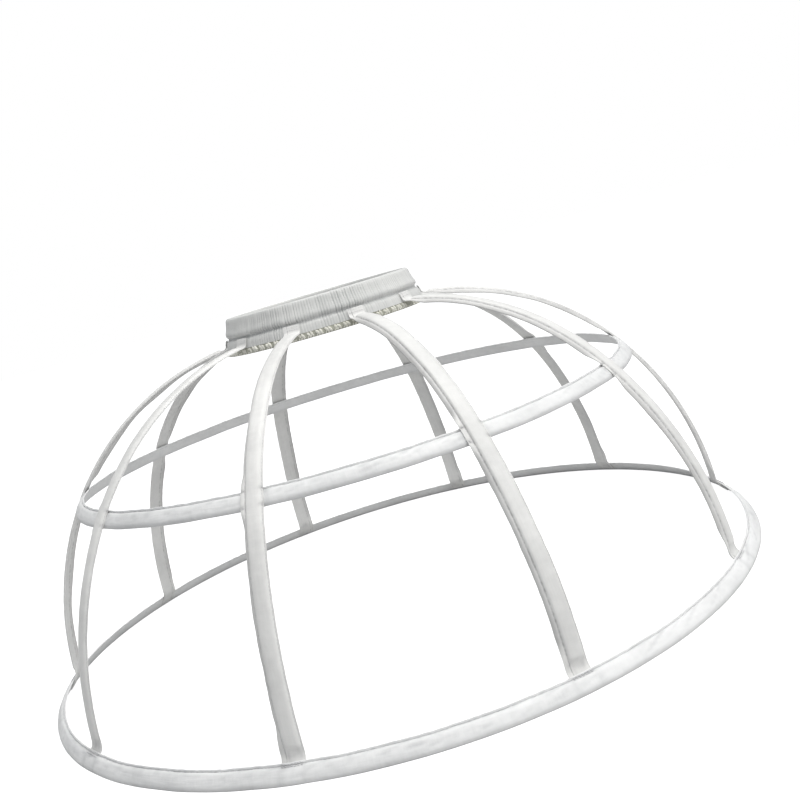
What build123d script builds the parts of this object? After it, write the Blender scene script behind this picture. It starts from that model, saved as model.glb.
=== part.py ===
from build123d import *
import os
from math import atan2, cos, degrees, radians, sin, sqrt, tan

# A crinoline cage: an elastic waistband from which ten boned tape ribs spring, a middle hoop and a
# hem hoop. All sizes are in millimetres and degrees. It stands on its hem at z = 0, z is up, the
# axis of the hoops is x = y = 0 and the front faces -Y.

# Hoops
hem_radius = 380.0               # outer lower edge of the hem tape
middle_hoop_radius = 294.5       # middle of the middle hoop's tape
middle_hoop_height = 201.0
hoop_lean = 38.0                 # both hoop tapes lean inwards at the top, from upright
hoop_tape_width = 17.0
hoop_seam_width = 2.5            # stitched flat along each edge of the tape
hem_foot_width = 1.0             # flat of the hem's folded edge, where the cage stands

# Ribs
rib_count = 10
rib_tape_width = 20.0
rib_flange_width = 4.5           # spare cloth that lies flat beside the channel, on the tape's left
rib_seam_width = 1.2             # the other edge, folded close to the channel
waist_bend_radius = 6.0          # the tape turns out from the waistband
hem_bend_radius = 10.0           # the tape turns in behind the hem
waist_tab_length = 5.5           # sewn flat on the waistband
hem_tab_width = 11.5             # how far the tape's end reaches down behind the hem tape
hem_tab_rise = 1.5               # the bend starts this far above the hem tape's top edge

# Tape casings and the bones in them
tape_thickness = 1.0             # two layers of satin, at the stitched seams
casing_wall = 0.6                # satin above and below a bone
bevel_width = 1.2                # the casing rises from its seam to full thickness in this width
bone_width = 8.0
bone_thickness = 1.4
bone_play = 0.2                  # a bone has this much room on each face and edge
bone_end_play = 1.5              # and this much at each end
bone_corner = 2.5                # the corners are cut off a rib bone's ends
pocket_inset = 3.0               # stitching that closes a rib's pocket, from the end of its bend
pocket_end_wall = 2.0

# Join of a hoop's bone: its two ends meet in a crimped sleeve, inside the casing
join_angle = 144.0               # from the front, between two of the rear ribs
bone_end_gap = 1.0
sleeve_length = 26.0
sleeve_wall = 0.3
sleeve_grip = 0.05               # room between the sleeve and the bone
sleeve_play = 0.1                # room between the sleeve and the casing

# Waistband
waist_half_width = 107.0         # at the seam between the lower strip and the overlocked edge
waist_half_depth = 90.5
waist_flare = 15.0               # the band narrows towards its top, from upright
waist_seam_height = 306.0
strip_height = 10.0              # the lower strip, from the overlocked edge to the crease
crease_height = 2.0
crease_depth = 1.0
band_height = 20.0               # the elastic's channel, above the crease
gather_count = 84
gather_depth = 1.0
gather_crest = 0.45              # share of a gather's width that its rounded crest takes
elastic_width = 16.0
elastic_thickness = 1.2
elastic_play = 0.2
band_wall = 0.7                  # cloth on each side of the elastic, under the gathers

# Overlocked edge under the waistband
edge_height = 6.5
edge_bead_count = 100
edge_bead_depth = 0.9
edge_bead_crest = 0.3
edge_bulge = 0.8                 # the beads stand out from the band by this much
edge_wall = 1.6

seat_gap = 0.4                   # room between two tapes that are sewn together

casing_thickness = 2 * (casing_wall + bone_play) + bone_thickness
band_thickness = 2 * (band_wall + elastic_play) + elastic_thickness + gather_depth
rib_pitch = 360.0 / rib_count
rib_bone_offset = (rib_flange_width - rib_seam_width) / 2   # to the tape's right
lean = radians(hoop_lean)
flare = radians(waist_flare)
hoop_slope = radians(90 - hoop_lean)


def along(slope, length=1.0):
    """A step down a line that falls at this slope, outwards, in the XZ plane."""
    return Vector(cos(slope), 0, -sin(slope)) * length


def outward(slope, length=1.0):
    """A step square to that line, out of the cage."""
    return Vector(sin(slope), 0, cos(slope)) * length


def tape_plane(point, slope):
    """A cross-section plane of a rib: x across the tape, y out of the cage."""
    return Plane(origin=point, x_dir=(0, 1, 0), z_dir=along(slope))


def hoop_plane(point):
    """A cross-section plane of a hoop: x down the tape, y out of the cage."""
    return Plane(origin=point, x_dir=along(hoop_slope), z_dir=(0, -1, 0))


def channel_outline(tape_width, left_seam, right_seam, foot):
    """The raised part of a casing, over its bone, from the height foot up."""
    left = left_seam - tape_width / 2
    right = tape_width / 2 - right_seam
    return make_face(Polyline(
        (left, foot), (right, foot), (right, tape_thickness), (right - bevel_width, casing_thickness),
        (left + bevel_width, casing_thickness), (left, tape_thickness), close=True,
    ))


def tape_outline(tape_width):
    """The flat tape under a casing, with its inner face on y = 0."""
    return Rectangle(tape_width, tape_thickness, align=(Align.CENTER, Align.MIN))


def bone_outline(room=0.0, offset=0.0):
    """A bone's section halfway through its casing, or with room added all round."""
    outline = Rectangle(bone_width + 2 * room, bone_thickness + 2 * room)
    return Pos(offset, casing_thickness / 2) * outline


# The two hoops, each as the middle of its tape's inner face
half_hoop = hoop_tape_width / 2
foot_cut = hem_foot_width / (tan(lean) + 1 / tan(lean))
hem_middle = Vector(
    hem_radius - half_hoop * sin(lean) - tape_thickness * cos(lean), 0, half_hoop * cos(lean) - foot_cut
)
middle_hoop_middle = Vector(middle_hoop_radius, 0, middle_hoop_height) - outward(hoop_slope, casing_thickness / 2)


def turned(shape, angle):
    """Turn a shape from the +X side to this angle from the front."""
    return Rot(0, 0, angle - 90) * shape


def hoop_ring(outline, middle, centre_angle=0.0, length=None, gap=0.0):
    """Spin a section round the hoops' axis: all the way, a short length, or all but a gap."""
    section = hoop_plane(middle) * outline
    if length is None and not gap:
        return revolve(section, Axis.Z, 360)
    arc = degrees(length / middle.X) if length else 360 - degrees(gap / middle.X)
    start = centre_angle - arc / 2 if length else centre_angle + degrees(gap / middle.X) / 2
    return turned(revolve(section, Axis.Z, arc), start)


def sleeve_outline(room):
    return bone_outline(sleeve_grip + sleeve_wall + room)


def hoop_casing(middle):
    outline = tape_outline(hoop_tape_width)
    outline += channel_outline(hoop_tape_width, hoop_seam_width, hoop_seam_width, 0)
    ring = hoop_ring(outline - bone_outline(bone_play), middle)
    pocket_length = sleeve_length + 2 * bone_end_play
    return ring - hoop_ring(sleeve_outline(sleeve_play), middle, join_angle, length=pocket_length)


def hem_casing():
    """The hem's casing, cut level where it stands."""
    floor_cut = Pos(0, 0, -hoop_tape_width / 2) * Cylinder(2 * hem_radius, hoop_tape_width)
    return hoop_casing(hem_middle) - floor_cut


def hoop_bone(middle):
    return hoop_ring(bone_outline(), middle, join_angle, gap=bone_end_gap)


def hoop_sleeve(middle):
    outline = sleeve_outline(0) - bone_outline(sleeve_grip)
    return hoop_ring(outline, middle, join_angle, length=sleeve_length)


def arc_to_bend(reach, bend_radius):
    """Radius of the long arc that leaves the middle hoop at its slope and meets a bend, and its
    slope there. The long arc and the bend end at reach, taken from the middle hoop."""
    start = outward(hoop_slope)
    radius = (reach.dot(reach) - bend_radius**2) / (2 * (bend_radius - reach.dot(start)))
    end = (reach + start * radius) * (1 / (radius + bend_radius))
    return radius, atan2(end.X, end.Z)


def long_arc(start, start_slope, end_slope, radius):
    """A rib's arc that grows steeper as it goes out, and its end point."""
    middle = start + (outward((start_slope + end_slope) / 2) - outward(start_slope)) * radius
    end = start + (outward(end_slope) - outward(start_slope)) * radius
    return ThreePointArc(start, middle, end), end


def bend_arc(start, start_slope, end_slope, radius):
    """A short arc the other way, where the tape turns onto what it is sewn to, and its end point."""
    middle = start - (outward((start_slope + end_slope) / 2) - outward(start_slope)) * radius
    end = start - (outward(end_slope) - outward(start_slope)) * radius
    return ThreePointArc(start, middle, end), end


def waist_half_sizes(height):
    """Half width and half depth of the waistband's outer face at a height."""
    inset = (height - waist_seam_height) * tan(flare)
    return waist_half_width - inset, waist_half_depth - inset


class RibLine:
    """The line of one rib's inner face, in an upright plane that joins even spaces round the oval
    waistband to even spaces round the hem. It is drawn in the XZ plane and then put in place."""

    def __init__(self, angle):
        turn = radians(angle)
        self.waist_slope = radians(90 - waist_flare)
        tab_top = waist_seam_height + strip_height
        half_width, half_depth = waist_half_sizes(tab_top)
        waist_point = Vector(half_width * sin(turn), -half_depth * cos(turn))
        hem_line = hem_middle - outward(hoop_slope, tape_thickness + seat_gap)
        run = Vector(sin(turn), -cos(turn)) * hem_line.X - waist_point
        self.plane_angle = degrees(atan2(run.X, -run.Y))
        self.side_step = (waist_point.Y * run.X - waist_point.X * run.Y) / run.length
        self.tab_start = self.in_plane(Vector(waist_point.length, 0, tab_top))
        self.tab_start += outward(self.waist_slope, seat_gap)
        self.tab_end = self.tab_start + along(self.waist_slope, waist_tab_length)
        self.crossing = self.in_plane(middle_hoop_middle + outward(hoop_slope, casing_thickness + seat_gap))
        hem_line = self.in_plane(hem_line)
        self.hem_bend_end = hem_line - along(hoop_slope, half_hoop + hem_tab_rise)
        self.end = hem_line + along(hoop_slope, hem_tab_width - half_hoop)
        waist_reach = self.tab_end - self.crossing + outward(self.waist_slope, waist_bend_radius)
        hem_reach = self.hem_bend_end - self.crossing + outward(hoop_slope, hem_bend_radius)
        self.upper_radius, self.upper_slope = arc_to_bend(waist_reach, waist_bend_radius)
        self.lower_radius, self.lower_slope = arc_to_bend(hem_reach, hem_bend_radius)

    def in_plane(self, point):
        """A point at a distance from the hoops' axis, as it lies in this rib's plane."""
        return Vector(sqrt(point.X**2 - self.side_step**2), 0, point.Z)

    def placed(self, shape):
        return turned(Pos(0, self.side_step, 0) * shape, self.plane_angle)

    def tape_path(self):
        tab = Line(self.tab_start, self.tab_end)
        bend, bend_end = bend_arc(self.tab_end, self.waist_slope, self.upper_slope, waist_bend_radius)
        upper, crossing = long_arc(bend_end, self.upper_slope, hoop_slope, self.upper_radius)
        lower, hem_bend = long_arc(crossing, hoop_slope, self.lower_slope, self.lower_radius)
        turn, turn_end = bend_arc(hem_bend, self.lower_slope, hoop_slope, hem_bend_radius)
        return Wire([tab, bend, upper, lower, turn, Line(turn_end, self.end)])

    def bone_path(self, inset):
        """The part of the line that holds the bone, shortened by inset at each end, with its
        start point and slope."""
        _, bend_end = bend_arc(self.tab_end, self.waist_slope, self.upper_slope, waist_bend_radius)
        first = self.upper_slope + inset / self.upper_radius
        start = bend_end + (outward(first) - outward(self.upper_slope)) * self.upper_radius
        upper, crossing = long_arc(start, first, hoop_slope, self.upper_radius)
        last = self.lower_slope - inset / self.lower_radius
        lower, _ = long_arc(crossing, hoop_slope, last, self.lower_radius)
        return Wire([upper, lower]), start, first


def rib_casing(line):
    tape = sweep(tape_plane(line.tab_start, line.waist_slope) * tape_outline(rib_tape_width), line.tape_path())
    path, start, slope = line.bone_path(pocket_inset)
    outline = channel_outline(rib_tape_width, rib_flange_width, rib_seam_width, tape_thickness / 2)
    channel = sweep(tape_plane(start, slope) * outline, path)
    path, start, slope = line.bone_path(pocket_inset + pocket_end_wall)
    pocket = tape_plane(start, slope) * bone_outline(bone_play, rib_bone_offset)
    return tape + channel - sweep(pocket, path)


def rib_bone(line):
    path, start, slope = line.bone_path(pocket_inset + pocket_end_wall + bone_end_play)
    bone = sweep(tape_plane(start, slope) * bone_outline(0, rib_bone_offset), path)
    corners = bone.edges().filter_by(lambda edge: abs(edge.length - bone_thickness) < bone_play)
    return chamfer(corners, bone_corner)


def gathered_oval(height, inset, count, depth, crest_share):
    """A closed outline of gathers at a height: crests that meet in sharp valleys."""
    half_width, half_depth = waist_half_sizes(height)
    points = []
    for index in range(count):
        for place, drop in ((0, depth), (0.5 - crest_share / 2, 0), (0.5 + crest_share / 2, 0)):
            turn = radians((index + place) * 360 / count)
            reach_x = half_width - inset - drop
            reach_y = half_depth - inset - drop
            points.append((reach_x * cos(turn), reach_y * sin(turn), height))
    return make_face(Polyline(points, close=True))


def gathered_body(levels, count, depth, crest_share):
    """A gathered oval that passes through each level's height and inset."""
    outlines = [gathered_oval(height, inset, count, depth, crest_share) for height, inset in levels]
    return loft(outlines, ruled=True)


def oval_body(low, high, inset):
    """A plain tapering oval between two heights, set in from the waistband's outer face."""
    faces = []
    for height in (low, high):
        half_width, half_depth = waist_half_sizes(height)
        faces.append(Pos(0, 0, height) * Ellipse(half_width - inset, half_depth - inset))
    return loft(faces, ruled=True)


strip_top = waist_seam_height + strip_height
band_foot = strip_top + crease_height
band_top = band_foot + band_height


def waistband_casing():
    levels = [
        (waist_seam_height, 0.0), (strip_top, 0.0), (strip_top + crease_height / 2, crease_depth),
        (band_foot, 0.0), (band_top, 0.0),
    ]
    body = gathered_body(levels, gather_count, gather_depth, gather_crest)
    body -= oval_body(waist_seam_height - band_thickness, band_top + band_thickness, band_thickness)
    return body - elastic_ring(elastic_play)


def elastic_ring(room=0.0):
    """The flat elastic in the middle of the band's height, or with room added all round."""
    middle = band_foot + band_height / 2
    outer = gather_depth + band_wall + elastic_play
    low = middle - elastic_width / 2 - room
    high = middle + elastic_width / 2 + room
    inner = outer + elastic_thickness
    cut = room + elastic_thickness
    return oval_body(low, high, outer - room) - oval_body(low - cut, high + cut, inner + room)


def overlocked_edge():
    """The gathered raw edge under the waistband, bound with thread into a row of beads."""
    foot = waist_seam_height - edge_height
    levels = [
        (foot, edge_bead_depth), (foot + edge_height / 2, -edge_bulge), (waist_seam_height, edge_bead_depth),
    ]
    beads = gathered_body(levels, edge_bead_count, edge_bead_depth, edge_bead_crest)
    inner = edge_wall + 2 * edge_bead_depth
    return beads - oval_body(foot - edge_wall, waist_seam_height + edge_wall, inner)


def build_parts():
    parts = {
        "waistband_casing": waistband_casing(),
        "waist_elastic": elastic_ring(),
        "overlocked_edge": overlocked_edge(),
        "middle_hoop_casing": hoop_casing(middle_hoop_middle),
        "middle_hoop_bone": hoop_bone(middle_hoop_middle),
        "middle_hoop_sleeve": hoop_sleeve(middle_hoop_middle),
        "hem_casing": hem_casing(),
        "hem_bone": hoop_bone(hem_middle),
        "hem_sleeve": hoop_sleeve(hem_middle),
    }
    for index in range(rib_count):
        line = RibLine((index + 0.5) * rib_pitch)
        parts[f"rib_casing_{index + 1}"] = line.placed(rib_casing(line))
        parts[f"rib_bone_{index + 1}"] = line.placed(rib_bone(line))
    return parts


os.makedirs("parts", exist_ok=True)
for name, shape in build_parts().items():
    export_step(shape, f"parts/{name}.step")
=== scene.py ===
# %% [markdown]
# # A crinoline cage in white satin tape
# The real cage is sewn, not built: ten boned tapes spring out from an elastic waistband, and a
# middle hoop and a hem hoop hold them apart. A cage could be drawn freely and scaled to fit, but
# the CAD frame already holds its sizes, so each cloth piece is modelled over its own solid and
# sits where the maker's drawing says.

# %% Load the frame
import math
import random

import bpy
from mathutils import Matrix, Vector, kdtree, noise


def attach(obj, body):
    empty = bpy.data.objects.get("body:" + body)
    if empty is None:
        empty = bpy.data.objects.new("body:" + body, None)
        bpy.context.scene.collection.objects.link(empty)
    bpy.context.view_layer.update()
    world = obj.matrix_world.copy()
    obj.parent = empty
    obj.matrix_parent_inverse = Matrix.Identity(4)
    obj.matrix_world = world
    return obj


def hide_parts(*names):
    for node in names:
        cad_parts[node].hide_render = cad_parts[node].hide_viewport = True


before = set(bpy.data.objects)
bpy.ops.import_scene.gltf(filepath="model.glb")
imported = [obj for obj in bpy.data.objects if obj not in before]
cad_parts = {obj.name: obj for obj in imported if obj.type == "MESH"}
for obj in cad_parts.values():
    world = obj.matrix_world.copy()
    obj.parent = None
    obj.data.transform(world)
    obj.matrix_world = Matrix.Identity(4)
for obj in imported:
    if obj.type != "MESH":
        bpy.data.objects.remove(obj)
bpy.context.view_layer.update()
MM = 0.001
rng = random.Random(7)

# %% [markdown]
# The camera stands in front, a little above the waist, and is rolled, so the cage looks tilted in
# the picture although it stands level on its hem. It could be aimed at a point on the cage, but
# that leaves the roll out, so its three directions are worked out from its pitch, yaw and roll.

# %% Camera
camera_place = Vector((0.0104, -1.0731, 0.3594))
camera_pitch = 0.1445
camera_yaw = 0.0401
camera_roll = 0.2822
camera_focal_px = 1006.95
picture_px = 800
sensor_width = 36.0
far_clip = 50.0


def make_camera():
    data = bpy.data.cameras.new("camera")
    data.sensor_width = sensor_width
    data.lens = camera_focal_px * sensor_width / picture_px
    data.clip_end = far_clip
    camera = bpy.data.objects.new("camera", data)
    bpy.context.scene.collection.objects.link(camera)
    sin_pitch, cos_pitch = math.sin(camera_pitch), math.cos(camera_pitch)
    sin_yaw, cos_yaw = math.sin(camera_yaw), math.cos(camera_yaw)
    right = Vector((cos_yaw, -sin_yaw, 0))
    ahead = Vector((cos_pitch * sin_yaw, cos_pitch * cos_yaw, -sin_pitch))
    up = Vector((sin_pitch * sin_yaw, sin_pitch * cos_yaw, cos_pitch))
    sin_roll, cos_roll = math.sin(camera_roll), math.cos(camera_roll)
    picture_right = right * cos_roll - up * sin_roll
    picture_up = right * sin_roll + up * cos_roll
    turn = Matrix((picture_right, picture_up, -ahead)).transposed()
    camera.matrix_world = Matrix.Translation(camera_place) @ turn.to_4x4()
    bpy.context.scene.camera = camera
    print("camera lens", round(data.lens, 1), "mm")


make_camera()

# %% [markdown]
# Pieces are modelled in edit mode, as by hand. An operator acts on all that is selected, so each
# helper first leaves one piece selected. A section could be written down as a finished mesh, but
# one that is extruded from point to point can be followed step by step and changed with any tool.

# %% Edit helpers


def pick(*pieces):
    """Leave these pieces selected and no other, the first one active."""
    bpy.ops.object.select_all(action="DESELECT")
    for piece in pieces:
        piece.select_set(True)
    bpy.context.view_layer.objects.active = pieces[0]


def start_mesh(name):
    """A tiny plane, open in edit mode."""
    bpy.ops.object.select_all(action="DESELECT")
    bpy.ops.mesh.primitive_plane_add(size=MM)
    piece = bpy.context.object
    piece.name = name
    piece.data.name = name
    bpy.ops.object.mode_set(mode="EDIT")
    bpy.ops.mesh.select_mode(type="VERT")
    return piece


def start_empty(name):
    """A mesh with nothing in it, open in edit mode."""
    piece = start_mesh(name)
    bpy.ops.mesh.delete(type="VERT")
    return piece


def draw_loop(name, points):
    """Draw a closed loop of edges by extruding one vertex from point to point."""
    piece = start_mesh(name)
    bpy.ops.mesh.merge(type="CENTER")
    bpy.ops.transform.translate(value=points[0])
    for here, there in zip(points, points[1:]):
        bpy.ops.mesh.extrude_vertices_move(TRANSFORM_OT_translate={"value": there - here})
    bpy.ops.mesh.select_all(action="SELECT")
    bpy.ops.mesh.edge_face_add()
    bpy.ops.mesh.delete(type="ONLY_FACE")
    bpy.ops.mesh.select_all(action="SELECT")
    return piece


def shade(piece, smooth_angle):
    pick(piece)
    bpy.ops.object.shade_smooth_by_angle(angle=math.radians(smooth_angle))


def close_skin(piece, smooth_angle=50):
    """Weld, close the ends, point the faces outwards and shade them."""
    weld_distance = 0.01 * MM
    bpy.ops.mesh.select_all(action="SELECT")
    bpy.ops.mesh.remove_doubles(threshold=weld_distance)
    bpy.ops.mesh.fill_holes(sides=0)
    bpy.ops.mesh.select_all(action="SELECT")
    bpy.ops.mesh.normals_make_consistent(inside=False)
    bpy.ops.object.mode_set(mode="OBJECT")
    shade(piece, smooth_angle)


def put(piece, matrix):
    """Put a finished piece where it belongs and leave its object at the origin."""
    pick(piece)
    piece.matrix_world = matrix
    bpy.ops.object.transform_apply(location=True, rotation=True, scale=True)


# %% [markdown]
# A tape is satin folded round a flat bone and stitched, so its section has a flat inner face and a
# crowned outer face. On a rib the channel sits to one side and the spare cloth lies beside it as a
# flange. On a hoop the seam runs along the upper edge only. A bevelled rectangle would be quicker,
# but the crown and the seam catch the light, and they tell a boned tape from a plain strip.

# %% Tape sections, as steps across the tape and out of the cage, in millimetres
rib_section = [
    (-10.0, 0.0), (-10.0, 0.85), (-8.6, 1.2), (-7.0, 1.15), (-6.2, 0.75), (-5.7, 0.5), (-5.3, 1.3),
    (-4.7, 2.3), (-3.6, 2.85), (-1.0, 3.1), (2.5, 3.15), (5.5, 2.95), (7.4, 2.4), (8.4, 1.4),
    (8.9, 0.75), (9.4, 0.95), (10.0, 0.75), (10.0, 0.0), (5.0, 0.0), (0.0, 0.0), (-5.0, 0.0),
]
hoop_section = [
    (-8.5, 0.0), (-8.5, 0.9), (-7.8, 1.4), (-6.9, 1.15), (-6.3, 0.5), (-5.8, 1.7), (-5.0, 2.8),
    (-3.4, 3.35), (-1.0, 3.5), (1.4, 3.5), (3.6, 3.3), (5.4, 2.95), (6.9, 2.35), (7.9, 1.55),
    (8.5, 0.7), (8.5, 0.0), (4.0, 0.0), (0.0, 0.0), (-4.0, 0.0),
]
rib_edge = 10.0
rib_flange_edge = -5.7
rib_seam = 8.9
hoop_edge = 8.5
hoop_seam = -6.3
rib_count = 10
print("section points", len(rib_section), "on a rib,", len(hoop_section), "on a hoop")

# %% [markdown]
# Sewn cloth is never quite even. It could be sculpted with a brush, by eye. Here smooth noise moves
# the vertices instead, because it gives the same cloth on every run, and soft steps can keep each
# move away from a seam or a crossing.

# %% Directions and soft steps


def along(slope, length=1.0):
    """A step down a line that falls at this slope, outwards."""
    return Vector((math.cos(slope), 0, -math.sin(slope))) * length


def outward(slope, length=1.0):
    """A step square to that line, out of the cage."""
    return Vector((math.sin(slope), 0, math.cos(slope))) * length


def smooth_step(low, high, value):
    share = min(1.0, max(0.0, (value - low) / (high - low)))
    return share * share * (3 - 2 * share)


def bump(value, width):
    """1 at zero, falling smoothly to nothing about two widths away."""
    return math.exp(-((value / width) ** 2))


def drift(spot, size, seed):
    """A smooth value from -1 to 1 that wanders over the cloth. Spot and size are in millimetres."""
    return noise.noise(Vector((spot[0] / size, spot[1] / size, 3.7 * seed)))


def from_rib(turn):
    """The angle from a direction round the cage to the nearest rib."""
    pitch = 2 * math.pi / rib_count
    return abs((turn % pitch) - pitch / 2)


# %% [markdown]
# A hoop is one tape closed on itself round its bone. It could be a curve with the section as its
# bevel, but a spin of the drawn section gives a clean closed skin that stays at one slope. First
# the line of each hoop is found, as the middle of its tape's inner face.

# %% Hoop lines
hoop_slope = math.radians(52)
hoop_lean = math.radians(38)
hem_radius = 380.0
hem_wall = 1.0
foot_width = 1.0
foot_cut = foot_width / (math.tan(hoop_lean) + 1 / math.tan(hoop_lean))
hem_middle = Vector((
    hem_radius - hoop_edge * math.sin(hoop_lean) - hem_wall * math.cos(hoop_lean),
    0,
    hoop_edge * math.cos(hoop_lean) - foot_cut,
)) * MM
middle_hoop_ring = Vector((294.5, 0, 201.0))
half_tape_thickness = 1.5
middle_hoop_middle = (middle_hoop_ring - outward(hoop_slope, half_tape_thickness)) * MM
print("hoop lines in mm", [round(v / MM, 1) for v in (*middle_hoop_middle, *hem_middle)])

# %% [markdown]
# The cloth keeps its own coordinates, along and across the tape, so that the weave can turn with
# it. An unwrap would guess them from the finished shape. They are known here, so they are written
# as they are. A painted shade is stored too, darker in folds, creases and turned-under cloth, where
# a real cage holds shade.

# %% Cloth coordinates and painted fold shade


def write_painted_shade(piece, painted_shade):
    """Store each point's painted shade, darker in folds, creases and turned-under cloth."""
    # the attribute named fold holds this painted shade, which darkens the cloth's colour
    layer = piece.data.attributes.new("fold", "FLOAT", "POINT")
    for item, value in zip(layer.data, painted_shade):
        item.value = value


def write_uv(piece, places, lap=None):
    """Write a UV map in metres, along and across the tape. Lap is the length of a closed ring."""
    layer = piece.data.uv_layers.new(name="cloth")
    for face in piece.data.polygons:
        spots = [places[index] for index in face.vertices]
        high = max(spot[0] for spot in spots)
        for loop_index, (run, across) in zip(face.loop_indices, spots):
            if lap and high - run > lap / 2:
                run += lap
            layer.data[loop_index].uv = (run, across)


def place_on_hoop(point, middle):
    """A point's angle round the cage, and its steps across the tape and out of it."""
    step = Vector((math.hypot(point.x, point.y), 0, point.z)) - middle
    return math.atan2(point.x, -point.y), step.dot(along(hoop_slope)), step.dot(outward(hoop_slope))


# %% [markdown]
# Satin over a bone puffs between the ribs, creases in short slants below its seam, puckers at the
# stitches, and is pressed flat where a rib lies on it. A bump map could show that from the front,
# but not along the outline, so the spun skin itself is loosened, vertex by vertex.

# %% Hoop tapes
hoop_steps = 900
crown_under_rib = 3.05


def loosen_hoop(hoop, middle, seed, crossed):
    """Loosen a hoop's tape. Crossed says that the ribs pass over it. Returns its painted shade."""
    painted_shade = []
    for vertex in hoop.data.vertices:
        turn, across, out = place_on_hoop(vertex.co, middle)
        across, out = across / MM, out / MM
        spot = Vector((math.sin(turn), -math.cos(turn))) * (middle.x / MM)
        near_rib = from_rib(turn) * middle.x / MM
        crown = smooth_step(0.2, 2.6, out)
        # broad and fine puffs, calmed where a rib crosses
        calm = smooth_step(9.0, 16.0, near_rib) if crossed else 1.0
        out += crown * calm * (0.45 * drift(spot, 26, seed) + 0.22 * drift(spot, 8, seed + 1))
        # slanted creases on the upper half
        slant = spot * 0.4 + Vector((across, across))
        crease = max(0.0, drift(slant, 4.0, seed + 7)) * (1 - smooth_step(-1.0, 6.0, across))
        out -= crown * calm * 0.8 * crease
        # painted shade for the creases, for the rib's edge and for the cloth turned under
        turned_under = smooth_step(4.5, 7.5, across)
        rib_shade = bump(near_rib - rib_edge, 3.0)
        painted_shade.append(crown * (0.7 * crease + 0.3 * rib_shade) + 0.35 * turned_under)
        # the lip above the seam wavers, and the seam is pulled in
        across += 0.5 * drift(spot, 30, seed + 2)
        on_seam = bump(across + 7.4, 1.4)
        out += on_seam * (0.45 * drift(spot, 4.5, seed + 3) + 0.15)
        across -= on_seam * 0.6 * drift(spot, 6.0, seed + 4)
        out -= bump(across - hoop_seam - 0.2, 0.7) * 0.3 * (1 + drift(spot, 5.0, seed + 5))
        out -= crown * bump(near_rib - rib_edge, 2.2) * 0.45
        if crossed:
            out = min(out, crown_under_rib + 2 * calm)
        else:
            over_rib_end = bump(near_rib, 9.0) * bump(across + 4.0, 2.6)
            out -= crown * over_rib_end * 0.7 * (1 + drift(spot, 3.5, seed + 6))
        out = max(out, 0.0)
        place = middle + along(hoop_slope, across * MM) + outward(hoop_slope, out * MM)
        vertex.co = (place.x * math.sin(turn), -place.x * math.cos(turn), max(place.z, 0.0))
    return painted_shade


def make_hoop(name, middle, seed, crossed):
    points = [middle + along(hoop_slope, a * MM) + outward(hoop_slope, o * MM) for a, o in hoop_section]
    hoop = draw_loop(name, points)
    bpy.ops.mesh.spin(steps=hoop_steps, angle=2 * math.pi, center=(0, 0, 0), axis=(0, 0, 1))
    close_skin(hoop)
    places = []
    for vertex in hoop.data.vertices:
        turn, across, _ = place_on_hoop(vertex.co, middle)
        places.append((turn * middle.x, across))
    write_painted_shade(hoop, loosen_hoop(hoop, middle, seed, crossed))
    write_uv(hoop, places, lap=2 * math.pi * middle.x)
    print(name, len(hoop.data.polygons), "faces")
    return hoop


middle_hoop = make_hoop("middle_hoop_tape", middle_hoop_middle, 11, True)
hem_hoop = make_hoop("hem_tape", hem_middle, 29, False)

# %% [markdown]
# A tape is held shut by a row of stitches, each a short bar of thread. They could be painted by a
# material, but a modelled stitch catches the light from every side. One is modelled at the start of
# the seam, and spin copies it round the hoop without joining the copies.

# %% Seam stitches
stitch_length = 2.2
stitch_width = 0.42
stitch_pitch = 3.1
stitch_smooth_angle = 80


def add_stitch(place, turn):
    """Add one stitch to the open mesh, lying along the local X that turn points."""
    bpy.ops.mesh.select_all(action="DESELECT")
    bpy.ops.mesh.primitive_uv_sphere_add(
        segments=6, ring_count=4, radius=MM, location=place, rotation=turn,
        scale=(stitch_length / 2, stitch_width / 2, stitch_width / 2),
    )


def repeat_stitch(count, angle, centre, axis):
    """Spin copies of the stitch just added, so that they share the angle evenly."""
    bpy.ops.mesh.spin(
        steps=count - 1, dupli=True, angle=angle * (count - 1) / count, center=centre, axis=axis
    )


def make_hoop_stitches(name, middle, seed, crossed):
    stitches = start_empty(name)
    count = round(2 * math.pi * middle.x / MM / stitch_pitch)
    in_seam = along(hoop_slope, (hoop_seam + 0.1) * MM) + outward(hoop_slope, 0.85 * MM)
    add_stitch(middle + in_seam, (0, 0, math.pi / 2))
    repeat_stitch(count, 2 * math.pi, (0, 0, 0), (0, 0, 1))
    bpy.ops.object.mode_set(mode="OBJECT")
    loosen_hoop(stitches, middle, seed, crossed)
    shade(stitches, stitch_smooth_angle)
    print(name, count, "stitches")
    return stitches


middle_hoop_stitches = make_hoop_stitches("middle_hoop_stitches", middle_hoop_middle, 11, True)
hem_stitches = make_hoop_stitches("hem_stitches", hem_middle, 29, False)

# %% [markdown]
# A rib is one tape that leaves the waistband, turns out, falls in two long arcs over the middle
# hoop, and turns in behind the hem. A curve through a few points could draw it, but it would waver
# between them. Arcs that meet at one slope are smooth, as a sprung bone is, and each radius follows
# from the places that the rib has to pass.

# %% Waist and rib sizes
seat_gap = 0.4 * MM
tab_length = 5.5 * MM
waist_bend = 6.0 * MM
hem_bend = 10.0 * MM
middle_hoop_thickness = 3.0 * MM
hem_bend_above = 1.5
rib_tail = 11.5
pocket_end = 2.0
waist_slope = math.radians(75)
band_slope = math.radians(15)
waist_half_width = 107.0
waist_half_depth = 90.5
seam_height = 306.0
strip_top = 316.0


def waist_half_sizes(height):
    """Half width and half depth of the waistband's outer face, in metres."""
    inset = (height - seam_height) * math.tan(band_slope)
    return (waist_half_width - inset) * MM, (waist_half_depth - inset) * MM


print("half waist at the ribs in mm", [round(size / MM, 1) for size in waist_half_sizes(strip_top)])

# %% Rib lines


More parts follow.
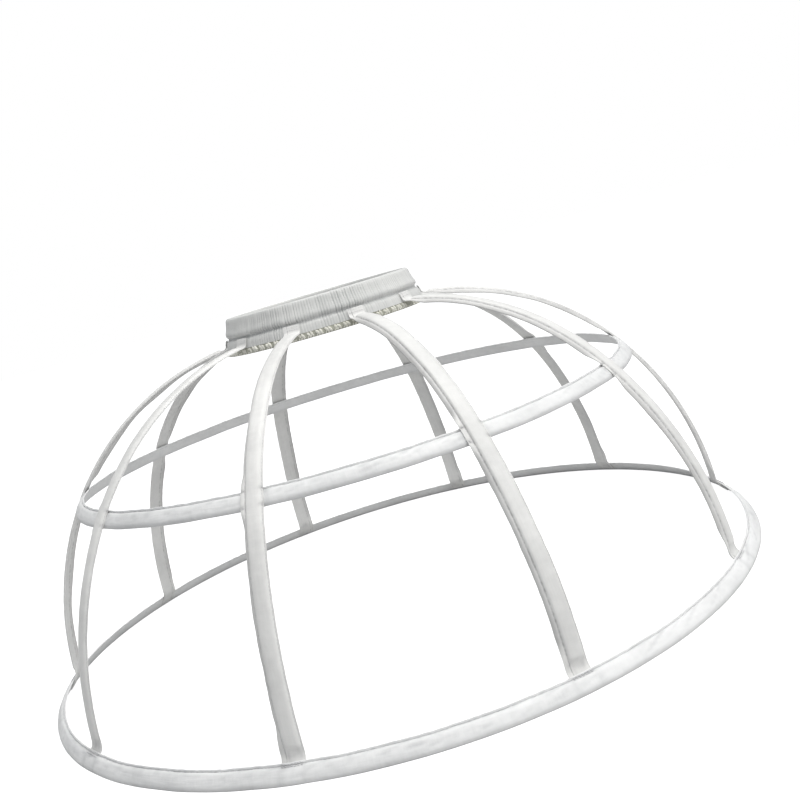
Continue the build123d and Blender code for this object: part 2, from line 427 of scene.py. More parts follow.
def arc_to_bend(reach, bend_radius):
    """Radius of the arc from the middle hoop to a bend that ends at reach, and its slope there."""
    start = outward(hoop_slope)
    radius = (reach.dot(reach) - bend_radius**2) / (2 * (bend_radius - reach.dot(start)))
    end = (reach + start * radius) / (radius + bend_radius)
    return radius, math.atan2(end.x, end.z)


class RibLine:
    """The line of one rib's inner face, in its own upright plane."""

    def __init__(self, angle):
        turn = math.radians(angle)
        half_width, half_depth = waist_half_sizes(strip_top)
        waist = Vector((half_width * math.sin(turn), -half_depth * math.cos(turn), 0))
        hem_line = hem_middle - outward(hoop_slope, hem_wall * MM + seat_gap)
        run = Vector((math.sin(turn), -math.cos(turn), 0)) * hem_line.x - waist
        self.plane_angle = math.atan2(run.x, -run.y)
        self.side_step = (waist.y * run.x - waist.x * run.y) / run.length
        top = Vector((waist.length, 0, strip_top * MM))
        self.start = self.in_plane(top) + outward(waist_slope, seat_gap)
        self.tab_end = self.start + along(waist_slope, tab_length)
        over_hoop = outward(hoop_slope, middle_hoop_thickness + seat_gap)
        self.crossing = self.in_plane(middle_hoop_middle + over_hoop)
        hem_line = self.in_plane(hem_line)
        self.hem_bend_end = hem_line - along(hoop_slope, (hoop_edge + hem_bend_above) * MM)
        self.end = hem_line + along(hoop_slope, (rib_tail - hoop_edge) * MM)
        self.find_arcs()
        self.find_stations()

    def in_plane(self, point):
        return Vector((math.sqrt(point.x**2 - self.side_step**2), 0, point.z))

    def find_arcs(self):
        """The two bends and the two long arcs, each as centre, first slope, last slope, radius."""
        waist_reach = self.tab_end - self.crossing + outward(waist_slope, waist_bend)
        hem_reach = self.hem_bend_end - self.crossing + outward(hoop_slope, hem_bend)
        upper_radius, upper_slope = arc_to_bend(waist_reach, waist_bend)
        lower_radius, lower_slope = arc_to_bend(hem_reach, hem_bend)
        self.arcs = []
        here, slope = self.tab_end, waist_slope
        for next_slope, radius in (
            (upper_slope, -waist_bend), (hoop_slope, upper_radius),
            (lower_slope, lower_radius), (hoop_slope, -hem_bend),
        ):
            centre = here - outward(slope, radius)
            self.arcs.append((centre, slope, next_slope, radius))
            here, slope = centre + outward(next_slope, radius), next_slope

    def find_stations(self):
        """A point every millimetre or so down the line, with its slope and its run from the top."""
        rows = [(self.start.lerp(self.tab_end, i / 6), waist_slope) for i in range(6)]
        for centre, first, last, radius in self.arcs:
            count = max(2, round(abs(radius * (last - first)) / MM))
            slopes = [first + (last - first) * i / count for i in range(count)]
            rows += [(centre + outward(slope, radius), slope) for slope in slopes]
        rows += [(self.hem_bend_end.lerp(self.end, i / 10), hoop_slope) for i in range(11)]
        run = 0.0
        self.stations = []
        self.tree = kdtree.KDTree(len(rows))
        for index, (point, slope) in enumerate(rows):
            if index:
                run += (point - rows[index - 1][0]).length
            self.stations.append((point, slope, run / MM))
            self.tree.insert(point, index)
        self.tree.balance()
        self.length = self.stations[-1][2]
        self.crossing_run = self.where(self.crossing)[0]
        centre, slope, _, radius = self.arcs[1]
        pocket_top = self.where(centre + outward(slope, radius))[0]
        centre, _, slope, radius = self.arcs[2]
        pocket_bottom = self.where(centre + outward(slope, radius))[0]
        self.pocket = (pocket_top + pocket_end, pocket_bottom - pocket_end)

    def where(self, point):
        """A point's distance down the line, its steps across and out, and its station."""
        flat = Vector((point.x, 0, point.z))
        _, index, _ = self.tree.find(flat)
        station, slope, run = self.stations[index]
        step = flat - station
        return run + step.dot(along(slope)) / MM, point.y / MM, step.dot(outward(slope)) / MM, index

    def matrix(self):
        turn = Matrix.Rotation(self.plane_angle - math.pi / 2, 4, "Z")
        return turn @ Matrix.Translation((0, self.side_step, 0))


rib_lines = [RibLine((index + 0.5) * 360 / rib_count) for index in range(rib_count)]
print("rib lengths in mm", [round(line.length, 1) for line in rib_lines[:rib_count // 2]])

# %% [markdown]
# A rib's cloth is loosened as a hoop's is. The pocket ends before each bend, the flange hangs back
# a little between its seats, and the tape is tacked down and puckers where it crosses the middle
# hoop. A bent tape could be loosened where it stands, but it is simpler while it lies in its own
# upright plane, where each vertex is known by its run down the line and its step across.

# %% Loosen a rib


def loosen_rib(rib, line, seed):
    """Shape a rib's tape in its own plane. Returns each vertex's place on the tape and its painted
    shade.
    """
    first, last = line.pocket
    places, painted_shade = [], []
    for vertex in rib.data.vertices:
        run, across, out, index = line.where(vertex.co)
        base_across = across
        spot = (run, 0.0)
        places.append((run * MM, across * MM))
        # the boned channel stands up between the two ends of the pocket
        crown = smooth_step(0.6, 2.6, out)
        channel = smooth_step(first - 1.5, first + 3.5, run) * (1 - smooth_step(last - 4.0, last, run))
        flat_out = min(out, 0.9)
        out = flat_out + (out - flat_out) * channel
        out += crown * channel * (0.26 * drift(spot, 30, seed) + 0.12 * drift(spot, 8, seed + 1))
        across *= 1 - 0.17 * (1 - smooth_step(0, 46, run))
        # the flange hangs back where nothing holds it
        from_crossing = abs(run - line.crossing_run)
        free = smooth_step(9, 26, from_crossing) * smooth_step(first, first + 22, run)
        free *= 1 - smooth_step(last - 22, last - 2, run)
        hang = max(0.0, rib_flange_edge - base_across) / (rib_edge + rib_flange_edge)
        out -= free * hang * (2.9 + 1.2 * drift(spot, 40, seed + 2))
        across += free * hang * 1.1
        # both edges waver, each in its own way
        edge = smooth_step(6.5, 9.5, abs(base_across))
        side = base_across > 0
        out += edge * (1 - free * 0.5) * 0.22 * drift(spot, 5.0, seed + 3 + side)
        across += edge * 0.3 * drift(spot, 9.0, seed + 5 + side)
        across += 0.5 * drift(spot, 60, seed + 7)
        # tacks pull the cloth in at the crossing's corners
        tack = bump(from_crossing - 7.0, 1.8) * smooth_step(4.5, 8.5, abs(base_across))
        out -= tack * 0.45 * (1 + 0.5 * drift((run, base_across), 3.0, seed + 8))
        if from_crossing < 12:
            out = max(out, 0.0)
        # the tail puckers where the hem is sewn over it
        pucker = smooth_step(last - 6, last + 4, run)
        ruck = drift((run * 0.3, base_across), 2.4, seed + 9)
        out += pucker * 0.12 * ruck
        # painted shade: darker at the tacks, on the hanging flange and where the tail puckers
        painted_shade.append(0.6 * tack + 0.6 * free * hang + 0.7 * pucker * max(0.0, ruck))
        if run > last or run < first - 6:
            out = min(max(out, 0.0), 1.0)
        out *= 0.4 + 0.6 * smooth_step(0.0, 3.5, run)
        station, slope, start = line.stations[index]
        flat = station + along(slope, (run - start) * MM) + outward(slope, out * MM)
        vertex.co = (flat.x, across * MM, flat.z)
    return places, painted_shade


# %% [markdown]
# The rib's section is drawn at the top, extruded down the tab and spun along each arc. A curve with
# a bevel could sweep it too, but with spin every ring of points stands square to the line. The
# finished tape is then turned to its own place round the cage.

# %% Rib tapes
rib_step = 1.6 * MM
tab_steps = 3
tail_steps = 5


def extrude_down(step, count):
    for _ in range(count):
        bpy.ops.mesh.extrude_edges_move(TRANSFORM_OT_translate={"value": step / count})


def make_rib(name, line, seed):
    points = [
        line.start + Vector((0, across * MM, 0)) + outward(waist_slope, out * MM)
        for across, out in rib_section
    ]
    rib = draw_loop(name, points)
    extrude_down(line.tab_end - line.start, tab_steps)
    for centre, first, last, radius in line.arcs:
        steps = max(6, round(abs(radius * (last - first)) / rib_step))
        bpy.ops.mesh.spin(steps=steps, angle=first - last, center=centre, axis=(0, 1, 0))
    extrude_down(line.end - line.hem_bend_end, tail_steps)
    close_skin(rib)
    places, painted_shade = loosen_rib(rib, line, seed)
    write_uv(rib, places)
    write_painted_shade(rib, painted_shade)
    put(rib, line.matrix())
    return rib


ribs = []
for number, line in enumerate(rib_lines, 1):
    ribs.append(make_rib(f"rib_tape_{number}", line, 40 + 12 * number))
print("rib tape", len(ribs[0].data.polygons), "faces")

# %% Rib stitches


def make_rib_stitches(name, line, seed):
    """Two rows down the long arcs, one in the crease beside the flange and one in the far seam."""
    stitches = start_empty(name)
    for centre, first, last, radius in line.arcs[1:3]:
        count = round(abs(radius * (last - first)) / MM / stitch_pitch)
        slope = first + (last - first) / count / 2
        for across, out in ((rib_flange_edge - 0.15, 0.75), (rib_seam, 0.95)):
            place = centre + outward(slope, radius + out * MM) + Vector((0, across * MM, 0))
            add_stitch(place, (0, slope, 0))
            repeat_stitch(count, first - last, centre, (0, 1, 0))
    bpy.ops.object.mode_set(mode="OBJECT")
    loosen_rib(stitches, line, seed)
    put(stitches, line.matrix())
    shade(stitches, stitch_smooth_angle)
    return stitches


rib_stitches = []
for number, line in enumerate(rib_lines, 1):
    rib_stitches.append(make_rib_stitches(f"rib_stitches_{number}", line, 40 + 12 * number))
print("rib stitches", len(rib_stitches[0].data.polygons), "faces")

# %% [markdown]
# The ribs are held by hand stitches: two rows across each end on the waistband, a bar tack at each
# corner of the crossing with the middle hoop, and thicker, doubled stitches on the hem. An array
# would set them in line. Copies of one bar, each with its own lean, look sewn by hand.

# %% Copy and join


def copy_to(shape, matrix):
    copy = shape.copy()
    copy.data = shape.data.copy()
    bpy.context.scene.collection.objects.link(copy)
    copy.matrix_world = matrix
    return copy


def join(name, copies, smooth_angle):
    pick(*copies)
    bpy.ops.object.join()
    joined = bpy.context.object
    joined.name = name
    joined.data.name = name
    bpy.ops.object.transform_apply(location=True, rotation=True, scale=True)
    shade(joined, smooth_angle)
    return joined


def sew(name, spots):
    """Copy one stitch to each matrix and join the copies."""
    stitch = start_empty(name)
    add_stitch((0, 0, 0), (0, 0, 0))
    bpy.ops.object.mode_set(mode="OBJECT")
    copies = [copy_to(stitch, matrix) for matrix in spots]
    bpy.data.objects.remove(stitch)
    return join(name, copies, stitch_smooth_angle)


# %% Tacks
hem_tack_pitch = 2.7
hem_tack_radius = 371.0
hem_tack_lump = Matrix.Diagonal((1.25, 2.3, 2.3, 1))


def on_rib(line, run, across, out, turn=0.0):
    """A matrix on a rib's face, in millimetres from its top, across it and out of it."""
    point, slope, _ = min(line.stations, key=lambda station: abs(station[2] - run))
    place = point + outward(slope, out * MM) + Vector((0, across * MM, 0))
    lie = Matrix((along(slope), Vector((0, 1, 0)), outward(slope))).transposed().to_4x4()
    return line.matrix() @ Matrix.Translation(place) @ lie @ Matrix.Rotation(turn, 4, "Z")


def rib_tacks(line):
    spots = []
    for row in (1.4, 4.6):
        for step in range(6):
            run = row + rng.uniform(-0.2, 0.2)
            spots.append(on_rib(line, run, -6.6 + step * 2.6, 1.1, math.pi / 2))
    for side, width in ((-1, 8.6), (1, 9.3)):
        for offset in (-7.4, 7.4):
            for step in range(3):
                run = line.crossing_run + offset + 0.3 * step
                across = side * (width - 0.7 * step)
                spots.append(on_rib(line, run, across, 1.2, rng.uniform(1.2, 1.9)))
    return spots


def hem_tacks():
    """A doubled row of stitches along the hem's seam over each rib's end."""
    spots = []
    quarter = math.pi / 2
    for line in rib_lines:
        end = line.matrix() @ line.hem_bend_end
        middle_turn = math.atan2(end.x, -end.y)
        for row, out in ((-6.9, 1.55), (-5.3, 2.6)):
            for step in range(7):
                turn = middle_turn + (step - 3) * hem_tack_pitch / hem_tack_radius
                place = hem_middle + along(hoop_slope, (row + rng.uniform(-0.25, 0.25)) * MM)
                place += outward(hoop_slope, out * MM)
                lean = Matrix.Rotation(rng.uniform(-0.35, 0.35), 4, "X")
                spots.append(
                    Matrix.Rotation(turn, 4, "Z") @ Matrix.Rotation(-quarter, 4, "Z")
                    @ Matrix.Translation(place) @ Matrix.Rotation(quarter, 4, "Z") @ lean @ hem_tack_lump
                )
    return spots


tacks = [sew(f"rib_tacks_{number}", rib_tacks(line)) for number, line in enumerate(rib_lines, 1)]
hem_tack_row = sew("hem_tacks", hem_tacks())
print("tacks", len(tacks), "rows on ribs, and", len(hem_tack_row.data.polygons), "faces on the hem")

# %% [markdown]
# The waistband is satin gathered on an elastic. A cloth simulation could gather it, but its folds
# would fall differently on each computer, and a bump map wouldn't show in the outline. So a ring of
# many short edges is extruded level by level up the outside, over the top and down the inside.

# %% Waistband ring
fold_count = 224
fold_columns = 4
band_columns = fold_count * fold_columns
band_wall = 3.7
band_levels = [
    (seam_height, 0.0), (307.5, 0.1), (310.0, 0.4), (312.5, 0.4), (314.2, 0.1), (315.2, -0.7),
    (316.2, -1.7), (317.2, -1.9), (318.2, -1.1), (319.2, 0.2), (320.6, 1.2), (322.4, 1.5),
    (324.4, 1.25), (327.0, 0.9), (330.0, 0.8), (333.0, 0.85), (335.4, 0.9), (336.8, 0.6),
    (337.7, -0.1), (338.0, -1.2), (337.8, -2.3), (337.0, -3.2), (335.0, -band_wall),
    (330.0, -band_wall), (324.0, -band_wall), (318.0, -band_wall), (312.0, -band_wall),
    (306.0, -band_wall),
]


def raise_ring(name, columns, levels):
    """Extrude a ring round the waist from level to level and close it. A level is a height and a
    step out of the band's face, in millimetres."""
    height, step_out = levels[0]
    width, depth = (size + step_out * MM for size in waist_half_sizes(height))
    bpy.ops.object.select_all(action="DESELECT")
    bpy.ops.mesh.primitive_circle_add(vertices=columns, radius=1.0)
    ring = bpy.context.object
    ring.name = name
    ring.data.name = name
    bpy.ops.object.mode_set(mode="EDIT")
    bpy.ops.mesh.select_mode(type="VERT")
    bpy.ops.transform.resize(value=(width, depth, 1), center_override=(0, 0, 0))
    bpy.ops.transform.translate(value=(0, 0, height * MM))
    for next_height, step_out in levels[1:]:
        next_width, next_depth = (size + step_out * MM for size in waist_half_sizes(next_height))
        rise = (0, 0, (next_height - height) * MM)
        bpy.ops.mesh.extrude_edges_move(TRANSFORM_OT_translate={"value": rise})
        bpy.ops.transform.resize(
            value=(next_width / width, next_depth / depth, 1),
            center_override=(0, 0, next_height * MM),
        )
        width, depth, height = next_width, next_depth, next_height
    bpy.ops.mesh.select_all(action="DESELECT")
    bpy.ops.mesh.select_non_manifold()
    bpy.ops.mesh.bridge_edge_loops()
    bpy.ops.mesh.select_all(action="SELECT")
    bpy.ops.mesh.normals_make_consistent(inside=False)
    bpy.ops.object.mode_set(mode="OBJECT")
    print(name, len(ring.data.polygons), "faces")
    return ring


waistband = raise_ring("gathered_waistband", band_columns, band_levels)

# %% [markdown]
# Even pleats would be a simple wave round the ring, but gathers on an elastic are uneven. So each
# fold is four columns wide, and its valley is drawn in by a depth of its own, deepest at the
# stitched crease, and softer at the two sides, where the elastic is less slack.

# %% Gather the waistband
crease_height = 316.8
waist_radius = 0.1
fold_depths = (0.2, 0.75, 1.0, 1.15, 1.3)
column_shares = (1.0, 0.38, 0.0, 0.42)
gathered_zones = [(-0.52, 0.34), (0.26, 0.26), (1.9, 0.35), (2.9, 0.4), (-2.3, 0.4)]


def gather(band):
    """Draw the folds in and let them sway. Returns each vertex's place on the cloth and its painted
    shade.
    """
    depths = [rng.choice(fold_depths) * rng.uniform(0.8, 1.1) for _ in range(fold_count)]
    places, painted_shade = [], []
    for vertex in band.data.vertices:
        height = vertex.co.z / MM
        half_width, half_depth = waist_half_sizes(height)
        turn = math.atan2(vertex.co.x / half_width, -vertex.co.y / half_depth)
        places.append((turn * waist_radius, height * MM))
        normal = Vector((math.sin(turn) / half_width, -math.cos(turn) / half_depth, 0)).normalized()
        side = Vector((-normal.y, normal.x, 0))
        reach = math.hypot(vertex.co.x / half_width, vertex.co.y / half_depth)
        outer = smooth_step(0.968, 0.985, reach)
        column = round((turn / (2 * math.pi) % 1) * band_columns) % band_columns
        fold, part = divmod(column, fold_columns)
        spot = (math.sin(turn) * 100, -math.cos(turn) * 100 + height * 0.35)
        # how strongly this side and this level are gathered
        strength = 0.3 + 0.7 * max(bump(turn - middle, width) for middle, width in gathered_zones)
        strength *= 0.85 + 0.3 * drift(spot, 30, 5)
        level = 0.7 + 0.4 * bump(height - 317, 5) + 0.25 * bump(height - 331, 4)
        level *= 1 - 0.6 * smooth_step(336, 338, height)
        depth = depths[fold] * column_shares[part] * strength * level * (0.25 + 0.75 * outer)
        # painted shade: darker in the fold valleys and along the stitched crease
        crease = bump(height - crease_height, 1.7) * outer
        painted_shade.append(min(1.0, 0.75 * depth + 0.55 * crease))
        # sway along the band, and a slow swell that keeps clear of the ribs' tabs
        sway = 0.5 * drift(spot, 7, 9) * outer
        swell = outer * (0.35 * drift(spot, 34, 15) + 0.15 * drift(spot, 12, 16))
        push = swell - 1.3 * depth
        if height < strip_top + 2 and from_rib(turn) * 100 < rib_edge:
            push = min(push, -0.35)
        vertex.co += normal * push * MM + side * sway * MM
        if seam_height + 1 < height < 337:
            vertex.co.z += 0.5 * drift(spot, 16, 21) * MM
    return places, painted_shade


band_places, band_painted_shade = gather(waistband)
write_uv(waistband, band_places, lap=2 * math.pi * waist_radius)
write_painted_shade(waistband, band_painted_shade)
shade(waistband, 65)
# the largest painted shade on the band, printed as its deepest fold
print("deepest fold", round(max(band_painted_shade), 2))

# %% [markdown]
# Under the band its raw edge is overlocked: thick thread wraps the gathered cloth into puffs. A
# displaced ring could suggest them, but it would run together. So one puff is shaped from a sphere,
# and leaned, uneven copies are set round the oval in twos, with a fringe of small loops below.

# %% Overlocked thread
puff_count = 146
puff_height = 303.3
loop_height = 301.0


def make_puff(name, segments, rings, half_sizes, lean):
    bpy.ops.object.select_all(action="DESELECT")
    bpy.ops.mesh.primitive_uv_sphere_add(segments=segments, ring_count=rings, radius=MM)
    puff = bpy.context.object
    puff.name = name
    bpy.ops.object.mode_set(mode="EDIT")
    bpy.ops.transform.resize(value=half_sizes, center_override=(0, 0, 0))
    bpy.ops.transform.rotate(value=lean, orient_axis="Y", center_override=(0, 0, 0))
    bpy.ops.object.mode_set(mode="OBJECT")
    return puff


def round_waist(height, inset, turn):
    """A matrix on the waist oval that faces out, with X round the oval and Z up."""
    half_width, half_depth = waist_half_sizes(height)
    x = (half_width - inset * MM) * math.sin(turn)
    y = -(half_depth - inset * MM) * math.cos(turn)
    facing = math.atan2(x / half_width**2, -y / half_depth**2)
    return Matrix.Translation((x, y, height * MM)) @ Matrix.Rotation(facing, 4, "Z")


def random_lean(most):
    return Matrix.Rotation(rng.uniform(-most, most), 4, "Y")


def make_overlocked_edge():
    puff = make_puff("puff", 8, 6, (1.45, 1.6, 3.0), math.radians(24))
    loop = make_puff("loop", 6, 5, (0.6, 0.7, 1.4), math.radians(-35))
    copies = []
    for index in range(puff_count):
        turn = 2 * math.pi * (index + 0.16 * (-1) ** index) / puff_count
        stand = rng.uniform(-0.3, 0.3) + 0.35 * (-1) ** (index // 2)
        lean = random_lean(0.25)
        size = Matrix.Diagonal((rng.uniform(0.95, 1.2), 1, rng.uniform(0.85, 1.0), 1))
        inset = 0.9 - stand + (0.9 if from_rib(turn) < 0.1 else 0)
        place = round_waist(puff_height + rng.uniform(-0.3, 0.3), inset, turn)
        copies.append(copy_to(puff, place @ lean @ size))
        for part in (-0.25, 0.25):
            loop_turn = turn + part * 2 * math.pi / puff_count
            lean = random_lean(0.4)
            place = round_waist(loop_height + rng.uniform(-0.3, 0.4), 1.3, loop_turn)
            copies.append(copy_to(loop, place @ lean))
    for shape in (puff, loop):
        bpy.data.objects.remove(shape)
    return join("overlocked_edge_thread", copies, 70)


edge_thread = make_overlocked_edge()
print("overlocked edge", len(edge_thread.data.polygons), "faces")

# %% [markdown]
# Between the puffs the cloth's raw edge shows. It is the same kind of ring as the band, thin and
# rounded below. A row of stitches holds the band's crease. Each could be pulled into the cloth, but
# so deep in a fold that wouldn't be seen, so they are plain copies sunk in the crease's bottom.

# %% Raw edge and crease stitches
edge_levels = [
    (306.4, -0.9), (303.0, -0.7), (300.2, -1.4), (299.6, -2.1), (300.2, -2.9), (303.0, -3.2),
    (306.4, -3.3),
]
edge_columns = 240
crease_stitch_count = 170
edge_cloth = raise_ring("overlocked_cloth_edge", edge_columns, edge_levels)
shade(edge_cloth, 60)
edge_places = [(math.atan2(v.co.x, -v.co.y) * waist_radius, v.co.z) for v in edge_cloth.data.vertices]
write_uv(edge_cloth, edge_places, lap=2 * math.pi * waist_radius)


def crease_spots():
    spots = []
    for index in range(crease_stitch_count):
        turn = 2 * math.pi * (index + rng.uniform(-0.12, 0.12)) / crease_stitch_count
        spots.append(round_waist(crease_height + rng.uniform(-0.2, 0.2), 2.0, turn))
    return spots


crease_stitches = sew("crease_stitches", crease_spots())
print("crease", crease_stitch_count, "stitches")

# %% [markdown]
# Satin shows long floats of bright thread that run down the tape, soft wrinkles, and shade where it
# is creased, which is painted into the colour as grey. All three could be painted into each
# material, but several materials share them, so each is a node group, built once. They read the
# cloth's own UV map and turn with the tape.

# %% Node helpers


def new_group(name, inputs, outputs):
    """A node group with named sockets. Returns the group, its input node and its output node."""
    group = bpy.data.node_groups.new(name, "ShaderNodeTree")
    for label, kind, value in inputs:
        socket = group.interface.new_socket(name=label, in_out="INPUT", socket_type=kind)
        if value is not None:
            socket.default_value = value
    for label, kind in outputs:
        group.interface.new_socket(name=label, in_out="OUTPUT", socket_type=kind)
    return group, group.nodes.new("NodeGroupInput"), group.nodes.new("NodeGroupOutput")


def fill(tree, node, inputs):
    """Give each named input its value, or a link where the value is a socket."""
    for label, value in inputs.items():
        if isinstance(value, bpy.types.NodeSocket):
            tree.links.new(value, node.inputs[label])
        else:
            node.inputs[label].default_value = value


def add_node(tree, kind, inputs, **settings):
    node = tree.nodes.new("ShaderNode" + kind)
    for label, value in settings.items():
        setattr(node, label, value)
    fill(tree, node, inputs)
    return node


def math_node(tree, kind, first, second=0.0):
    return add_node(tree, "Math", {0: first, 1: second}, operation=kind).outputs["Value"]


def noise_node(tree, vector, scale, detail=2.0):
    inputs = {"Vector": vector, "Scale": scale, "Detail": detail}
    return add_node(tree, "TexNoise", inputs).outputs["Fac"]


def split(tree, vector):
    outputs = add_node(tree, "SeparateXYZ", {0: vector}).outputs
    return outputs["X"], outputs["Y"]


def stretch(tree, x, y, x_scale, y_scale):
    """A vector scaled by its own amount along the cloth and across it."""
    x = math_node(tree, "MULTIPLY", x, x_scale)
    y = math_node(tree, "MULTIPLY", y, y_scale)
    return add_node(tree, "CombineXYZ", {"X": x, "Y": y}).outputs["Vector"]


def mix_colors(tree, share, first, second):
    return add_node(tree, "Mix", {"Factor": share, 6: first, 7: second}, data_type="RGBA").outputs[2]


# %% Satin weave
VECTOR, NUMBER, COLOR = "NodeSocketVector", "NodeSocketFloat", "NodeSocketColor"


def make_weave_group():
    """Long floats, as noise drawn out along the cloth, over the fine ridges of the threads."""
    inputs = [("Vector", VECTOR, None), ("Thread", NUMBER, 3500.0), ("Float", NUMBER, 400.0)]
    outputs = [("Height", NUMBER), ("Shine", NUMBER)]
    group, given, result = new_group("satin weave", inputs, outputs)
    x, y = split(group, given.outputs["Vector"])
    drawn_out = stretch(group, x, y, given.outputs["Float"], given.outputs["Thread"])
    threads = noise_node(group, drawn_out, 1.0, 1.0)
    ridge = math_node(group, "SINE", math_node(group, "MULTIPLY", y, 14000.0))
    height = math_node(group, "ADD", threads, math_node(group, "MULTIPLY", ridge, 0.12))
    fill(group, result, {"Height": height, "Shine": threads})
    return group


weave_group = make_weave_group()
print(weave_group.name, len(weave_group.nodes), "nodes")

# %% Cloth shade


def grey_patches(group, place, share):
    """Broad and fine patches, from 0 to the given share."""
    broad = math_node(group, "MULTIPLY", noise_node(group, place, 22.0, 3.0), 0.75)
    fine = math_node(group, "MULTIPLY", noise_node(group, place, 160.0, 2.0), 0.25)
    centred = math_node(group, "SUBTRACT", math_node(group, "ADD", broad, fine), 0.38)
    raised = math_node(group, "MAXIMUM", math_node(group, "MULTIPLY", centred, 3.2), 0.0)
    return math_node(group, "MULTIPLY", math_node(group, "MINIMUM", raised, 1.0), share)


def broken_seam(group, cloth, seam, depth):
    """A dark line along the seam, about a millimetre wide and broken as stitches pull it: partly the
    seam's thread and partly painted shadow in its groove.
    """
    far = math_node(group, "ABSOLUTE", math_node(group, "SUBTRACT", split(group, cloth)[1], seam))
    near = math_node(group, "SUBTRACT", 1.0, math_node(group, "MULTIPLY", far, 1100.0))
    line = math_node(group, "MAXIMUM", near, 0.0)
    breaks = math_node(group, "SUBTRACT", noise_node(group, cloth, 260.0, 1.0), 0.36)
    breaks = math_node(group, "MAXIMUM", math_node(group, "MULTIPLY", breaks, 4.0), 0.0)
    return math_node(group, "MULTIPLY", math_node(group, "MULTIPLY", line, breaks), depth)


def make_shade_group():
    """Uneven colour: grey patches, a dark seam that is partly painted shadow, and painted shade in
    folds.
    """
    group, given, result = new_group(
        "cloth shade",
        [
            ("Place", VECTOR, None), ("Cloth", VECTOR, None),
            ("Color", COLOR, (0.8, 0.8, 0.8, 1)), ("Shadow", COLOR, (0.5, 0.5, 0.5, 1)),
            ("Drift", NUMBER, 0.25), ("Seam", NUMBER, 1.0), ("Seam thread and shade", NUMBER, 0.0),
            ("Painted shade", NUMBER, 0.0),
        ],
        [("Color", COLOR)],
    )
    wanted = given.outputs
    patches = grey_patches(group, wanted["Place"], wanted["Drift"])
    seam = broken_seam(group, wanted["Cloth"], wanted["Seam"], wanted["Seam thread and shade"])
    total = math_node(group, "ADD", math_node(group, "ADD", patches, seam), wanted["Painted shade"])
    fill(group, result, {"Color": mix_colors(group, total, wanted["Color"], wanted["Shadow"])})
    return group


shade_group = make_shade_group()
print(shade_group.name, len(shade_group.nodes), "nodes")

# %% Soft wrinkles


def make_wrinkle_group():
    """Two kinds of wrinkle: long streaks that run down the tape, and short puckers across it."""
    group, given, result = new_group("soft wrinkles", [("Vector", VECTOR, None)], [("Height", NUMBER)])
    x, y = split(group, given.outputs["Vector"])
    streaks = noise_node(group, stretch(group, x, y, 24.0, 170.0), 1.0)
    puckers = noise_node(group, stretch(group, x, y, 150.0, 60.0), 1.0)
    fill(group, result, {"Height": math_node(group, "ADD", streaks, puckers)})
    return group


wrinkle_group = make_wrinkle_group()
print(wrinkle_group.name, len(wrinkle_group.nodes), "nodes")

# %% [markdown]
# The tapes, the hoops and the waistband are one kind of satin in three whites: the waistband's
# white is painted greyest, as painted shade for its gathers. One function makes them all, so they stay
# alike.
# Sheen and specular numbers stay on the shader itself.

# %% Material helpers


def new_material(name, roughness, metallic=0.0, sheen=0.0):
    material = bpy.data.materials.new(name)
    material.use_nodes = True
    shader = material.node_tree.nodes["Principled BSDF"]
    fill(material.node_tree, shader, {
        "Roughness": roughness, "Metallic": metallic, "Sheen Weight": sheen, "Sheen Roughness": 0.4,
    })
    return material, material.node_tree, shader


def object_place(tree):
    return add_node(tree, "TexCoord", {}).outputs["Object"]


def add_shade(tree, shader, color, shadow, inputs):
    """Feed the base colour from the shared shade group."""
    inputs = {"Color": (*color, 1), "Shadow": (*shadow, 1), **inputs}
    shaded = add_node(tree, "Group", inputs, node_tree=shade_group)
    fill(tree, shader, {"Base Color": shaded.outputs["Color"]})


def add_bump(tree, shader, height, distance, strength, under=None):
    """Feed the normal from a Bump node, over another normal where there is one."""
    inputs = {"Height": height, "Distance": distance * MM, "Strength": strength}
    if under:
        inputs["Normal"] = under
    normal = add_node(tree, "Bump", inputs).outputs["Normal"]
    fill(tree, shader, {"Normal": normal})
    return normal


# %% Cloth materials
no_seam = 900.0
weave_height = 0.1


def cloth_material(name, color, shadow, roughness, drift_share, wrinkle, seam=no_seam, seam_thread_and_shade=0.0):
    """Satin: a long-float weave over soft wrinkles, greyer in its seams and folds."""
    material, tree, shader = new_material(name, roughness, sheen=0.25)
    cloth = add_node(tree, "UVMap", {}, uv_map="cloth").outputs["UV"]
    add_shade(tree, shader, color, shadow, {
        "Place": object_place(tree), "Cloth": cloth, "Drift": drift_share, "Seam": seam * MM,
        "Seam thread and shade": seam_thread_and_shade,
        # the fold attribute is painted shade, mixed into the cloth's colour
        "Painted shade": add_node(tree, "Attribute", {}, attribute_name="fold").outputs["Fac"],
    })
    weave = add_node(tree, "Group", {"Vector": cloth}, node_tree=weave_group).outputs
    creases = add_node(tree, "Group", {"Vector": cloth}, node_tree=wrinkle_group).outputs
    shine = {"Value": weave["Shine"], "To Min": roughness - 0.1, "To Max": roughness + 0.12}
    rough = add_node(tree, "MapRange", shine).outputs["Result"]
    fill(tree, shader, {"Roughness": rough, "Specular IOR Level": 0.45})
    soft = add_bump(tree, shader, creases["Height"], wrinkle, 1.0)
    add_bump(tree, shader, weave["Height"], weave_height, 0.6, soft)
    return material


rib_satin = cloth_material(
    "rib satin", (0.86, 0.855, 0.84), (0.52, 0.515, 0.51), 0.42, 0.35, 0.4, rib_flange_edge, 0.7
)
hoop_satin = cloth_material(
    "hoop satin", (0.9, 0.9, 0.9), (0.58, 0.585, 0.59), 0.40, 0.35, 0.7, hoop_seam, 0.5
)
# the band's colour is darker than the tapes', as painted shade for its gathers
band_satin = cloth_material(
    "waistband satin", (0.755, 0.755, 0.74), (0.49, 0.5, 0.495), 0.44, 0.3, 0.3
)
